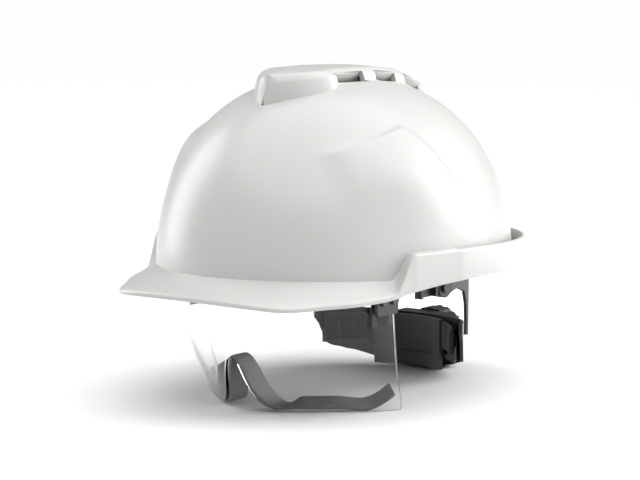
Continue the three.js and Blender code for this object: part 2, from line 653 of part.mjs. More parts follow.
const cradleTop = (bearing) => -43 - 3 * Math.cos(radians(bearing * 1.35)) ** 2;
const cradleLow = (bearing) =>
  -69 - 12.5 * Math.cos(radians(bearing * 1.35)) ** 2 + 19 * smooth(Math.abs(bearing), 56, 67);

function napeCradle() {
  const strip = napeArc([-NAPE.wing, NAPE.wing], [cradleLow, cradleTop], NAPE.radius, NAPE.wall, 44);
  return cut(strip, rod('y', 7, 80, 100, 0, PINION.z, 20));
}

// The arm from the headband's pivot lobe back and in, then down to a wing of the cradle.
function napeYoke() {
  const { y, z } = NAPE_PIVOT;
  const [inner, thickness, bend, rear, foot, drawIn] = [65.5, 2, 30, 58.6, -50, 6.6];
  const eye = new THREE.Shape();
  eye.moveTo(y, z + 7).absarc(y, z, 7, Math.PI / 2, Math.PI * 1.75, false);
  eye.lineTo(bend + 0.4, z - 4).lineTo(bend + 0.4, z + 7).closePath();
  const shape = new THREE.Shape();
  shape.moveTo(bend, z - 4).lineTo(40, z - 3).lineTo(rear - 6, z - 7).lineTo(rear - 2.6, z - 15);
  shape.lineTo(rear - 1.8, z - 26).lineTo(rear - 1.8, foot).lineTo(rear + 1.5, foot);
  shape.lineTo(rear + 1.5, z + 2);
  shape.quadraticCurveTo(rear + 1, z + 6.4, rear - 4, z + 6.7).lineTo(bend, z + 7).closePath();
  const arm = sideProfile(shape, 0, thickness).translate(0, -bend, 0);
  arm.rotateZ(Math.atan2(drawIn, rear - bend)).translate(inner, bend, 0);
  const holed = cut(sideProfile(eye, inner, inner + thickness), rod('x', 2.5, 60, 70, y, z, 16));
  return joined(holed, arm);
}

function napePivotPin() {
  const { y, z } = NAPE_PIVOT;
  const shank = rod('x', 2.1, 61, 68.4, y, z, 14);
  const heads = [[60.3, 61.6], [68, 69.5]].map(([from, to]) => rod('x', 4, from, to, y, z, 18));
  return joined(shank, ...heads);
}

function napePad() {
  return napeArc([31, 62], [-65, -47], NAPE.radius - 6.7, 3, 10);
}

// A toothed strip that slides round inside the cradle: one has its teeth above the pinion, one below.
function bandTail(side) {
  const outer = side > 0 ? 60.6 : 62.3;
  const toothed = side > 0 ? -1 : 1;
  const z = PINION.z;
  const span = (inner, outward) => (side > 0 ? [inner, outward] : [-outward, -inner]);
  const half = (bearing) => lerp(9.5, 4, smooth(side * bearing, 42, 62));
  const edges = [(bearing) => z - half(bearing), (bearing) => z + half(bearing)];
  const strip = napeArc(span(-35, 62), edges, outer, 1.2, 30);
  const room = PINION.radius + 1.6;
  const slot = napeArc(span(-31, 33), [z - room, z + room], outer + 1, 3.2, 22);
  const pitch = THREE.MathUtils.radToDeg((2 * Math.PI * PINION.radius) / PINION.teeth / outer);
  const teeth = [];
  for (let i = -11; i <= 11; i += 1) {
    const tooth = new THREE.Shape();
    const [root, tip, base] = [0.8, 0.28, room + 0.4];
    tooth.moveTo(-root, toothed * base).lineTo(-tip, toothed * (PINION.radius - 0.55));
    tooth.lineTo(tip, toothed * (PINION.radius - 0.55)).lineTo(root, toothed * base).closePath();
    const body = new THREE.ExtrudeGeometry(tooth, { depth: 1.2, bevelEnabled: false });
    body.rotateX(Math.PI / 2).translate(0, outer, z);
    teeth.push(body.rotateZ(radians(i * pitch)).translate(0, NAPE.centre, 0));
  }
  return joined(cut(strip, slot), ...teeth);
}

// ---------------------------------------------------------------- ratchet
const HOUSING = { halfWidth: 26, low: -81, high: -46, front: 93.6, rear: 104, wall: 2 };

function roundedRect(halfWidth, low, high, corner) {
  const shape = new THREE.Shape();
  shape.moveTo(-halfWidth + corner, low).lineTo(halfWidth - corner, low);
  shape.absarc(halfWidth - corner, low + corner, corner, -Math.PI / 2, 0);
  shape.lineTo(halfWidth, high - corner).absarc(halfWidth - corner, high - corner, corner, 0, Math.PI / 2);
  shape.lineTo(-halfWidth + corner, high);
  shape.absarc(-halfWidth + corner, high - corner, corner, Math.PI / 2, Math.PI);
  shape.lineTo(-halfWidth, low + corner);
  shape.absarc(-halfWidth + corner, low + corner, corner, Math.PI, Math.PI * 1.5);
  return shape;
}

// An outline in the X-Z plane made thick from Y = from to Y = to.
function rearProfile(shape, from, to, curveSegments = 5) {
  const geometry = new THREE.ExtrudeGeometry(shape, { depth: to - from, bevelEnabled: false, curveSegments });
  return geometry.rotateX(Math.PI / 2).translate(0, to, 0);
}

const HOUSING_SCREWS = [[-22, -50], [22, -50], [-22, -77], [22, -77]];

function ratchetHousing() {
  const { halfWidth, low, high, front, rear, wall } = HOUSING;
  const outside = rearProfile(roundedRect(halfWidth, low, high, 8), front - 8, rear);
  const cradleRoom = new THREE.CylinderGeometry(NAPE.radius + GAP, NAPE.radius + GAP, 60, 96);
  cradleRoom.rotateX(Math.PI / 2).translate(0, NAPE.centre, PINION.z);
  const chamber = rod('y', 14.5, front - 12, rear - wall, 0, PINION.z, 32);
  const shaft = rod('y', 3.4, 80, 130, 0, PINION.z, 20);
  const holes = HOUSING_SCREWS.map(([x, z]) => rod('y', 1.5, 80, 130, x, z, 12));
  return cut(outside, cradleRoom, chamber, shaft, ...holes);
}

function housingScrew([x, z]) {
  const { rear } = HOUSING;
  const shank = rod('y', 1.2, rear - 9, rear + 0.8, x, z, 12);
  return joined(shank, rod('y', 2.4, rear + GAP, rear + 1.6, x, z, 14));
}

function innerCover() {
  const outside = napeArc([-28, 28], [-80, -46.5], NAPE.radius - 6.5, 2.6, 18);
  const recess = napeArc([-19, 19], [-71, -53], NAPE.radius - 7.9, 4, 14);
  return cut(outside, recess);
}

// The ring of stops that the pawl wheel clicks over.
function detentRing() {
  const [teeth, outer, root, tip] = [24, 14.1, 12.6, 11.6];
  const ring = new THREE.Shape().absarc(0, 0, outer, 0, Math.PI * 2);
  const inside = new THREE.Path();
  for (let i = 0; i < teeth; i += 1) {
    const [a, b] = [(i / teeth) * Math.PI * 2, ((i + 0.5) / teeth) * Math.PI * 2];
    inside[i ? 'lineTo' : 'moveTo'](root * Math.cos(a), root * Math.sin(a));
    inside.lineTo(tip * Math.cos(b), tip * Math.sin(b));
  }
  inside.closePath();
  ring.holes.push(inside);
  return rearProfile(ring, 97, 101.4).translate(0, 0, PINION.z);
}

function pawlWheel() {
  const shape = new THREE.Shape().absarc(0, 0, 7, 0, Math.PI * 2);
  const body = rearProfile(shape, 97.4, 101).translate(0, 0, PINION.z);
  const pawls = [0, Math.PI].map((turn) => {
    const pawl = block([-1.2, 97.4, 5], [1.2, 101, 11.2]);
    return pawl.rotateY(turn + 0.13).translate(0, 0, PINION.z);
  });
  return cut(joined(body, ...pawls), rod('y', 3.2, 90, 110, 0, PINION.z, 20));
}

function ratchetShaft() {
  return rod('y', 2.9, 91.4, 108, 0, PINION.z, 20);
}

function drivePinion() {
  const shape = new THREE.Shape();
  const [tip, root] = [PINION.radius + 0.55, PINION.radius - 0.95];
  for (let i = 0; i < PINION.teeth; i += 1) {
    const centre = ((i + 0.5) / PINION.teeth) * Math.PI * 2;
    const corners = [[root, -0.17], [tip, -0.06], [tip, 0.06], [root, 0.17]];
    for (const [j, [radius, turn]] of corners.entries()) {
      const angle = centre + turn;
      shape[i + j ? 'lineTo' : 'moveTo'](radius * Math.cos(angle), radius * Math.sin(angle));
    }
  }
  shape.closePath();
  return rearProfile(shape, 87, 91.1).translate(0, 0, PINION.z);
}

const KNOB = { radius: 19, front: 104.6, rear: 117, grips: 18 };

function knob() {
  const outline = new THREE.Shape();
  const steps = KNOB.grips * 6;
  for (let i = 0; i < steps; i += 1) {
    const angle = (i / steps) * Math.PI * 2;
    const radius = KNOB.radius - 0.9 * (1 - Math.abs(Math.sin((KNOB.grips * angle) / 2)));
    outline[i ? 'lineTo' : 'moveTo'](radius * Math.cos(angle), radius * Math.sin(angle));
  }
  outline.closePath();
  const body = rearProfile(outline, KNOB.front, KNOB.rear).translate(0, 0, PINION.z);
  const hollow = rod('y', 15, KNOB.front - 2, KNOB.rear - 6, 0, PINION.z, 32);
  const hub = rod('y', 6, KNOB.front + 1, KNOB.rear - 5, 0, PINION.z, 24);
  const shaftHole = rod('y', 3.2, KNOB.front - 5, 108.4, 0, PINION.z, 20);
  const screwHole = rod('y', 1.5, 100, 130, 0, PINION.z, 14);
  const dish = rod('y', 5, KNOB.rear - 3, KNOB.rear + 2, 0, PINION.z, 24);
  return cut(joined(cut(body, hollow), hub), shaftHole, screwHole, dish);
}

function knobScrew() {
  return joined(rod('y', 1.2, 108.4, 115, 0, PINION.z, 12), rod('y', 3.4, 114.3, 116, 0, PINION.z, 18));
}

// ---------------------------------------------------------------- assembly
const helmet = new THREE.Group();

function add(name, geometry, material) {
  const mesh = new THREE.Mesh(geometry, material);
  mesh.name = name;
  helmet.add(mesh);
}

// A left piece and its mirror image.
function addPair(name, geometry, material) {
  add(`${name}_left`, geometry, material);
  add(`${name}_right`, mirrored(geometry), material);
}

add('shell', shell(), GLOSS_WHITE);
for (const place of ['side', 'rear']) {
  add(`${place}_key_left`, suspensionKey(KEYS[place], 1), SATIN_BLACK);
  add(`${place}_key_right`, suspensionKey(KEYS[place], -1), SATIN_BLACK);
}
add('upper_crown_strap', crownStrap(1, 88), TEXTILE);
add('lower_crown_strap', crownStrap(-1, 85), TEXTILE);
add('crown_pad', crownPad(), FOAM);
add('headband', headband(), SATIN_BLACK);
add('sweatband', sweatband(), FOAM);
addPair('side_hanger', sideHanger(1), SATIN_BLACK);
add('rear_stay_left', rearStay(1), SATIN_BLACK);
add('rear_stay_right', mirrored(rearStay(1)), SATIN_BLACK);
addPair('shield_rail', shieldRail(), SATIN_BLACK);
addPair('nape_pivot_pin', napePivotPin(), SATIN_BLACK);

addPair('shield_carrier', shieldCarrier(), SATIN_BLACK);
addPair('shield_pivot_pin', shieldPivotPin(), DARK_GREY);

add('lens', lens(), CLEAR);
addPair('shield_arm', shieldArm(), SATIN_BLACK);
add('lower_seal', lowerSeal(), DARK_GREY);
ARM_SCREWS.forEach((place, i) => addPair(`arm_screw_${i + 1}`, armScrew(place), STEEL));

add('nape_cradle', napeCradle(), SATIN_BLACK);
addPair('nape_yoke', napeYoke(), SATIN_BLACK);
addPair('nape_pad', napePad(), FOAM);
add('ratchet_housing', ratchetHousing(), SATIN_BLACK);
add('inner_cover', innerCover(), DARK_GREY);
add('detent_ring', detentRing(), DARK_GREY);
HOUSING_SCREWS.forEach((place, i) => add(`housing_screw_${i + 1}`, housingScrew(place), STEEL));

add('band_tail_left', bandTail(1), DARK_GREY);
add('band_tail_right', bandTail(-1), DARK_GREY);

add('knob', knob(), SATIN_BLACK);
add('ratchet_shaft', ratchetShaft(), STEEL);
add('drive_pinion', drivePinion(), DARK_GREY);
add('pawl_wheel', pawlWheel(), DARK_GREY);
add('knob_screw', knobScrew(), STEEL);

export default helmet;
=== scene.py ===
import math

import bmesh
import bpy
import numpy as np
from mathutils import Matrix, Vector
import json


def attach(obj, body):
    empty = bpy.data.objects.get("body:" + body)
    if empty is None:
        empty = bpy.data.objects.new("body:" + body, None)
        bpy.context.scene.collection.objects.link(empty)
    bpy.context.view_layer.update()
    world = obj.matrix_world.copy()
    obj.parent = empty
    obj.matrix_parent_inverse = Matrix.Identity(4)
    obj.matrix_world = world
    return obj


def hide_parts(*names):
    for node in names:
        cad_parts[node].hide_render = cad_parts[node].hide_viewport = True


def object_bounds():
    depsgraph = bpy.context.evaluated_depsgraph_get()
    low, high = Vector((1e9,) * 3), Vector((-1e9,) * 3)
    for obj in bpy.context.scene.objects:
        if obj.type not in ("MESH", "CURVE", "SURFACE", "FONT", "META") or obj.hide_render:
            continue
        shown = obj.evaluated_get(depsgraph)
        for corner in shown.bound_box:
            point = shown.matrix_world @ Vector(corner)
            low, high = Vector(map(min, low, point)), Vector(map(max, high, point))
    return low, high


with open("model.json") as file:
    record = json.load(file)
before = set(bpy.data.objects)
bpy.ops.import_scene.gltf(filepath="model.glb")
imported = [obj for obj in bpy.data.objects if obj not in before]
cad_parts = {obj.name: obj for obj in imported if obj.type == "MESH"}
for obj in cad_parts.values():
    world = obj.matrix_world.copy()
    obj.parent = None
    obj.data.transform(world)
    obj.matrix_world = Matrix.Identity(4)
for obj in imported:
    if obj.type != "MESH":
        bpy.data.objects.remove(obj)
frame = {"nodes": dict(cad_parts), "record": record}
cad_box = [list(corner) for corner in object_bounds()]
nodes = frame["nodes"]
MM = 0.001

# ------------------------------------------------------------ dimensions, in millimetres and degrees
DOME = dict(half=104.0, front=130.0, rear=129.0, height=118.0, plan=1.95, roof=2.1, wall=2.3)
FOOT_SLOPE = -0.033
SHELL_WALL = 2.6
BRIM_EDGE = 3.0
BRIM_OUTLINE = [(0, -147, -9), (34, -145, -9.6), (54, -141.5, -10.4), (63.5, -136.5, -10.9),
                (70, -128, -10.8), (77.3, -115.6, -10.4), (86.5, -101, -10), (92.5, -86, -9.2),
                (97, -73, -7.8), (102.5, -57, -4.4)]
BRIM_SHARES = (0.3, 0.65, 0.92)  # where the brim's upper side has points, from the dome to the edge
RIM_LIP = 2.0  # width of the flat strip under the rim's outer edge
EDGE_ROUND = dict(brim=0.6, block=1.0, gutter=0.8)
GUTTER = dict(half=111.0, front=134.0, rear=134.0, plan=2.05)
GUTTER_WALL, GUTTER_DEPTH = 2.4, 13.0
BLOCK = dict(start=53.0, ramp=60.5, end=79.0, drop=82.0, top=18.0)
SLOT = dict(x=102.4, y=-35.0, width=6.0, length=30.0, depth=13.0, below=6.0, turn=-11.9)
# The raised panel on the shell's side: its ledge, its rear edge, and the stretches over which it fades out
PANEL = dict(height=2.8, ledge_y=-76, ledge_z=77.0, ledge_slope=0.24, ledge_width=5.5,
             rear_z=[20, 57, 76, 85, 90], rear_y=[-3, -6, -17, -23, -30], rear_ahead=7, rear_behind=5,
             front_start=-90, front_end=-74, turn_start=-80, turn_end=-38,
             fade_low=(19, 30), fade_high=(60, 84), inner_start=30, inner_end=45)
# The crest's stations: y, half width and top height
CREST = [(-76, 4, 104), (-71, 9, 120.5), (-61, 20, 122), (-46, 28.5, 123), (-38, 28.5, 123.4),
         (-33, 25, 123.6), (-10, 27, 123.6), (12, 27, 123), (35, 26, 120.5), (55, 23, 115.5),
         (75, 18, 106), (90, 12, 92), (98, 8, 81)]
CREST_FRONT = dict(shoulder=-38, width=28.8, reach=39, power=1.8, side_power=0.8)
CREST_TOP = dict(edge_out=1.2, edge_drop=3.4, flat_in=2.4, flat_drop=0.2, crown=0.6, corner=2.4, middle=6)
VENTS = [(-32, -7), (5, 28), (41, 61)]
VENT_HEIGHT, VENT_BELOW, VENT_REACH, VENT_INSET = 6.4, 1.6, 14.0, 1.0
BAFFLE = dict(inset=6.4, lower=1.6, lean=38, thickness=1.4, longer=3.0, taller=2.4)
SHIELD = dict(half=75.5, rear=-38.0, flare=4.0, flare_start=58, front=-112.0, tuck=12.0, tuck_power=2.2,
              power=2.2, low_power=1.27, ridge_start=15, ridge_end=80, wall=2.2, trim=0.02,
              top=-2.0, bottom=-79.7, edge_section=-71.7)
CLIP = dict(x=72.2, y=-54, z=-17.8, size=(1.6, 19, 21.5))
CORNER = dict(start=50.0, end=68.0, drop=2.5)
NOSE = dict(round=1.0, foot=22.0, rise=32.5, power=2.4)
SEAL = dict(start=0.05, clear=0.6, side=8.0, rise=6.0, crown=13.5, crown_end=8.0, leg=17.0, leg_end=14.0,
            side_start=36.0, foot=1.0, end_lift=10.0, lift_start=1.05, lift_end=1.5,
            side_reach=40, nose_reach=100, wall=2.0)
HEADBAND = dict(half=68.0, front=92.0, rear=90.0, centre=-5.0, thickness=1.6)
NAPE = dict(centre=28.0, radius=65.0)
KEYS = dict(side=(99.5, 30), rear=(143, 18))  # bearing and height of each suspension key's socket
SOCKET = dict(depth=7.0, height=13.0, reach=6.4, half=12, slot_near=2, slot_far=5, slot_half=9, slot_over=1)
NAPE_PAD = dict(near=31, far=62, low=-65, high=-47, inset=6.7)
CROWN_PAD = dict(radius=34.0, top=82.5, centre_y=12.0, half=2.5, sag=5.5, sag_power=2.2, segments=6)
FLOOR_REACH = 60  # metres
# Angles in degrees, distance and target in metres
CAMERA = dict(azimuth=37, elevation=7.5, distance=1.5, target=(-0.00879, -0.00662, 0.0125),
              lens=132.9, sensor=36)


def lerp(a, b, t):
    return a + (b - a) * t


def smooth(value, low, high):
    t = min(1.0, max(0.0, (value - low) / (high - low)))
    return t * t * (3 - 2 * t)


# ------------------------------------------------------------ mesh helpers
def new_piece(name, points, faces, body, slot, material, replaces=(), flat=False):
    mesh = bpy.data.meshes.new(name)
    mesh.from_pydata([tuple(c * MM for c in p) for p in points], [], faces)
    mesh.validate()
    piece = bpy.data.objects.new(name, mesh)
    bpy.context.scene.collection.objects.link(piece)
    tidy_normals(piece)
    if not flat:
        shade(piece)
    piece.data.materials.append(material)
    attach(piece, body)
    if replaces:
        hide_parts(*replaces)
    return piece


def tidy_normals(piece):
    work = bmesh.new()
    work.from_mesh(piece.data)
    bmesh.ops.remove_doubles(work, verts=work.verts, dist=1e-6)
    bmesh.ops.recalc_face_normals(work, faces=work.faces)
    if work.calc_volume(signed=True) < 0:
        bmesh.ops.reverse_faces(work, faces=work.faces)
    work.to_mesh(piece.data)
    work.free()


def shade(piece, angle=32):
    for polygon in piece.data.polygons:
        polygon.use_smooth = True
    piece.data.set_sharp_from_angle(angle=math.radians(angle))


def apply_modifiers(piece):
    bpy.context.view_layer.update()
    graph = bpy.context.evaluated_depsgraph_get()
    mesh = bpy.data.meshes.new_from_object(piece.evaluated_get(graph))
    piece.modifiers.clear()
    piece.data = mesh


def bevel(piece, width, segments=2):
    modifier = piece.modifiers.new("edges", "BEVEL")
    modifier.width = width * MM
    modifier.segments = segments
    modifier.limit_method = "ANGLE"
    modifier.angle_limit = math.radians(40)
    apply_modifiers(piece)
    shade(piece)


def sheet_points(surface, columns, rows, thickness):
    """A sheet between a surface and the same surface moved inwards by the thickness."""
    step = 1e-3
    points = []
    for depth in (0.0, thickness):
        for i in range(columns + 1):
            for j in range(rows + 1):
                s, t = i / columns, j / rows
                along = surface(s + step, t) - surface(s - step, t)
                across = surface(s, t + step) - surface(s, t - step)
                normal = along.cross(across).normalized()
                points.append(surface(s, t) - normal * depth)
    layer = (columns + 1) * (rows + 1)

    def at(i, j, side):
        return side * layer + i * (rows + 1) + j

    faces = []
    for i in range(columns):
        for j in range(rows):
            faces.append((at(i, j, 0), at(i + 1, j, 0), at(i + 1, j + 1, 0), at(i, j + 1, 0)))
            faces.append((at(i, j, 1), at(i, j + 1, 1), at(i + 1, j + 1, 1), at(i + 1, j, 1)))
        faces.append((at(i, 0, 1), at(i + 1, 0, 1), at(i + 1, 0, 0), at(i, 0, 0)))
        faces.append((at(i, rows, 0), at(i + 1, rows, 0), at(i + 1, rows, 1), at(i, rows, 1)))
    for j in range(rows):
        faces.append((at(0, j, 0), at(0, j + 1, 0), at(0, j + 1, 1), at(0, j, 1)))
        faces.append((at(columns, j, 1), at(columns, j + 1, 1), at(columns, j + 1, 0), at(columns, j, 0)))
    return points, faces


def lofted(rings):
    """A closed skin through rings of equally many points, capped at both ends."""
    count = len(rings[0])
    points = [p for ring in rings for p in ring]
    faces = []
    for i in range(len(rings) - 1):
        for j in range(count):
            a, b = i * count + j, i * count + (j + 1) % count
            faces.append((a, b, b + count, a + count))
    faces.append(tuple(range(count))[::-1])
    faces.append(tuple(range((len(rings) - 1) * count, len(rings) * count)))
    return points, faces


def box_mesh(centre, size, turn=Matrix.Identity(3)):
    corners = [Vector((x, y, z)) for x in (-0.5, 0.5) for y in (-0.5, 0.5) for z in (-0.5, 0.5)]
    width, length, height = size
    points = [Vector(centre) + turn @ Vector((c.x * width, c.y * length, c.z * height)) for c in corners]
    faces = [(0, 1, 3, 2), (4, 6, 7, 5), (0, 4, 5, 1), (2, 3, 7, 6), (0, 2, 6, 4), (1, 5, 7, 3)]
    return points, faces


def merge_meshes(*parts):
    points, faces = [], []
    for some_points, some_faces in parts:
        base = len(points)
        points += list(some_points)
        faces += [tuple(base + i for i in face) for face in some_faces]
    return points, faces


def tool_object(name, mesh_data):
    mesh = bpy.data.meshes.new(name)
    mesh.from_pydata([tuple(c * MM for c in p) for p in mesh_data[0]], [], mesh_data[1])
    tool = bpy.data.objects.new(name, mesh)
    bpy.context.scene.collection.objects.link(tool)
    tidy_normals(tool)
    return tool


def boolean(piece, operation, *tools):
    for tool in tools:
        modifier = piece.modifiers.new(operation, "BOOLEAN")
        modifier.operation = operation
        modifier.solver = "MANIFOLD"
        modifier.object = tool
        apply_modifiers(piece)
        bpy.data.objects.remove(tool)


# ------------------------------------------------------------ materials
def material(name, color, roughness, metallic=0.0, specular=0.5):
    made = bpy.data.materials.new(name)
    made.use_nodes = True
    shader = made.node_tree.nodes["Principled BSDF"]
    shader.inputs["Base Color"].default_value = (*color, 1)
    shader.inputs["Roughness"].default_value = roughness
    shader.inputs["Metallic"].default_value = metallic
    shader.inputs["Specular IOR Level"].default_value = specular
    return made, shader


def node(made, kind, **values):
    made_node = made.node_tree.nodes.new(kind)
    for key, value in values.items():
        if key in made_node.inputs:
            made_node.inputs[key].default_value = value
        else:
            setattr(made_node, key, value)
    return made_node


def link(made, source, target):
    made.node_tree.links.new(source, target)


def place(made, scale=(1, 1, 1)):
    coordinates = node(made, "ShaderNodeTexCoord")
    mapping = node(made, "ShaderNodeMapping")
    mapping.inputs["Scale"].default_value = scale
    link(made, coordinates.outputs["Object"], mapping.inputs["Vector"])
    return mapping.outputs["Vector"]


def noise(made, where, scale, detail=2.0, rough=0.5):
    made_node = node(made, "ShaderNodeTexNoise", Scale=scale, Detail=detail, Roughness=rough)
    link(made, where, made_node.inputs["Vector"])
    return made_node.outputs["Fac"]


def tint(made, shader, fac, low, high, start=0.3, end=0.7):
    ramp = node(made, "ShaderNodeValToRGB")
    ramp.color_ramp.elements[0].position = start
    ramp.color_ramp.elements[0].color = (*low, 1)
    ramp.color_ramp.elements[1].position = end
    ramp.color_ramp.elements[1].color = (*high, 1)
    link(made, fac, ramp.inputs["Fac"])
    link(made, ramp.outputs["Color"], shader.inputs["Base Color"])


def vary_roughness(made, shader, fac, low, high):
    spread = node(made, "ShaderNodeMapRange")
    spread.inputs["To Min"].default_value = low
    spread.inputs["To Max"].default_value = high
    link(made, fac, spread.inputs["Value"])
    link(made, spread.outputs["Result"], shader.inputs["Roughness"])


def bump(made, shader, height, strength, distance):
    made_node = node(made, "ShaderNodeBump", Strength=strength, Distance=distance)
    link(made, height, made_node.inputs["Height"])
    link(made, made_node.outputs["Normal"], shader.inputs["Normal"])


def moulded(name, low, high, roughness, grain, depth, spread=0.06):
    made, shader = material(name, low, roughness)
    where = place(made)
    tint(made, shader, noise(made, where, 14, 4), low, high)
    vary_roughness(made, shader, noise(made, where, 55, 5, 0.6), roughness - spread, roughness + spread)
    bump(made, shader, noise(made, where, grain, 2), 0.35, depth)
    return made


def gloss_white():
    made, shader = material("gloss_white", (0.47, 0.47, 0.458), 0.34)
    where = place(made)
    tint(made, shader, noise(made, where, 6, 3), (0.46, 0.462, 0.447), (0.48, 0.481, 0.469))
    vary_roughness(made, shader, noise(made, where, 30, 5, 0.6), 0.30, 0.40)
    bump(made, shader, noise(made, where, 160, 2), 0.08, 0.00025)
    shader.inputs["Coat Weight"].default_value = 0.15
    shader.inputs["Coat Roughness"].default_value = 0.2
    return made


def clear_plastic():
    made, shader = material("clear_polycarbonate", (0.975, 0.98, 0.98), 0.02)
    where = place(made)
    vary_roughness(made, shader, noise(made, where, 40, 4, 0.6), 0.0, 0.035)
    shader.inputs["Transmission Weight"].default_value = 1.0
    shader.inputs["IOR"].default_value = 1.3
    return made


def webbing(name, low, high):
    made, shader = material(name, low, 0.85, specular=0.25)
    where = place(made)
    weave = node(made, "ShaderNodeTexWave", Scale=360.0, Distortion=0.6, Detail=1.0)
    weave.bands_direction = "DIAGONAL"
    link(made, where, weave.inputs["Vector"])
    cross = node(made, "ShaderNodeTexWave", Scale=420.0, Distortion=0.4, Detail=1.0)
    cross.bands_direction = "Z"
    link(made, where, cross.inputs["Vector"])
    both = node(made, "ShaderNodeMath", operation="MULTIPLY")
    link(made, weave.outputs["Fac"], both.inputs[0])
    link(made, cross.outputs["Fac"], both.inputs[1])
    tint(made, shader, both.outputs["Value"], low, high, 0.1, 0.8)
    bump(made, shader, both.outputs["Value"], 0.8, 0.0004)
    shader.inputs["Sheen Weight"].default_value = 0.25
    shader.inputs["Sheen Roughness"].default_value = 0.5
    return made


def brushed_steel():
    made, shader = material("plated_steel", (0.58, 0.59, 0.61), 0.32, 1.0)
    where = place(made, (1, 8, 1))
    vary_roughness(made, shader, noise(made, where, 380, 4), 0.24, 0.42)
    bump(made, shader, noise(made, where, 600, 2), 0.2, 0.00008)
    return made


WHITE = gloss_white()
BLACK = moulded("satin_black", (0.0125, 0.013, 0.0145), (0.021, 0.0215, 0.023), 0.40, 900, 0.00012)
KNOB_BLACK = moulded("grained_black", (0.013, 0.0135, 0.015), (0.022, 0.0225, 0.024), 0.52, 620, 0.0003)
CHARCOAL = moulded("charcoal_plastic", (0.045, 0.046, 0.049), (0.062, 0.063, 0.066), 0.46, 800, 0.00014)
RUBBER = moulded("soft_rubber", (0.15, 0.151, 0.152), (0.18, 0.181, 0.182), 0.62, 520, 0.0002)
DARK_STEEL = moulded("blackened_steel", (0.03, 0.03, 0.032), (0.05, 0.05, 0.053), 0.38, 700, 0.0001)
CLEAR = clear_plastic()
STRAP = webbing("strap_webbing", (0.018, 0.019, 0.021), (0.055, 0.057, 0.062))
FOAM = webbing("foam_cover", (0.016, 0.017, 0.019), (0.040, 0.042, 0.046))
THREAD = moulded("sewing_thread", (0.10, 0.102, 0.108), (0.16, 0.162, 0.168), 0.8, 900, 0.0001)
STEEL = brushed_steel()


# ------------------------------------------------------------ shell
def plan_radius(bearing, plan, inset=0.0):
    across = abs(math.sin(bearing)) / (plan["half"] - inset)
    along = abs(math.cos(bearing)) / ((plan["front"] if math.cos(bearing) > 0 else plan["rear"]) - inset)
    power = plan["plan"]
    return (across**power + along**power) ** (-1 / power)


def dome_height(x, y, inset=0.0):
    reach = min(1.0, math.hypot(x, y) / plan_radius(math.atan2(x, -y), DOME, inset))
    return FOOT_SLOPE * y + (DOME["height"] - inset) * (1 - reach ** DOME["wall"]) ** (1 / DOME["roof"])


def dome_point(bearing, turn, inset):
    rise = max(0.0, math.cos(turn)) ** (2 / DOME["roof"])
    radius = plan_radius(bearing, DOME, inset) * math.sin(turn) ** (2 / DOME["wall"])
    return radius, FOOT_SLOPE * -radius * math.cos(bearing) + (DOME["height"] - inset) * rise


def dome_turn(bearing, height, inset):
    low, high = 0.0, math.pi / 2
    for _ in range(30):
        middle = (low + high) / 2
        if dome_point(bearing, middle, inset)[1] > height:
            low = middle
        else:
            high = middle
    return (low + high) / 2


def catmull(points, per_span):
    out = []
    ends = [2 * points[0] - points[1], *points, 2 * points[-1] - points[-2]]
    for i in range(1, len(ends) - 2):
        a, b, c, d = ends[i - 1:i + 3]
        for k in range(per_span):
            t = k / per_span
            out.append(0.5 * (2 * b + (c - a) * t + (2 * a - 5 * b + 4 * c - d) * t * t
                              + (3 * b - a - 3 * c + d) * t**3))
    return [*out, points[-1]]


brim_line = catmull([Vector(p) for p in BRIM_OUTLINE], 24)


def brim_edge(bearing):
    angles = [math.atan2(p.x, -p.y) for p in brim_line]
    reach = [math.hypot(p.x, p.y) for p in brim_line]
    return np.interp(bearing, angles, reach), np.interp(bearing, angles, [p.z for p in brim_line])


def rim_bottom(y):
    return -0.5 - 0.0011 * min(y - 5, 0) ** 2 - 0.05 * max(y - 5, 0)


def gutter_top(y):
    return BLOCK["top"] - 0.035 * max(y + 10, 0)


def wall_radius(bearing):
    start, end = math.radians(BLOCK["ramp"]), math.radians(BLOCK["end"])
    if bearing <= start or bearing >= end:
        return plan_radius(bearing, GUTTER)
    a, b = (Vector((math.sin(t), -math.cos(t))) * plan_radius(t, GUTTER) for t in (start, end))
    along = b - a
    ray = Vector((math.sin(bearing), -math.cos(bearing)))
    return (a.x * along.y - a.y * along.x) / (ray.x * along.y - ray.y * along.x)


def mix_sections(a, b, share):
    return [(lerp(p[0], q[0], share), lerp(p[1], q[1], share)) for p, q in zip(a, b)]


def rounded_section(section, radii, steps=3):
    """Each inner corner of an open outline becomes a short arc."""
    out = [section[0]]
    for i in range(1, len(section) - 1):
        before, corner, after = (Vector(section[k]) for k in (i - 1, i, i + 1))
        reach = min(radii[i], 0.45 * (before - corner).length, 0.45 * (after - corner).length)
        a = corner + (before - corner).normalized() * reach if (before - corner).length > 1e-6 else corner
        b = corner + (after - corner).normalized() * reach if (after - corner).length > 1e-6 else corner
        for k in range(steps + 1):
            t = k / steps
            out.append(tuple(a * (1 - t) ** 2 + corner * 2 * t * (1 - t) + b * t * t))
    out.append(section[-1])
    return out


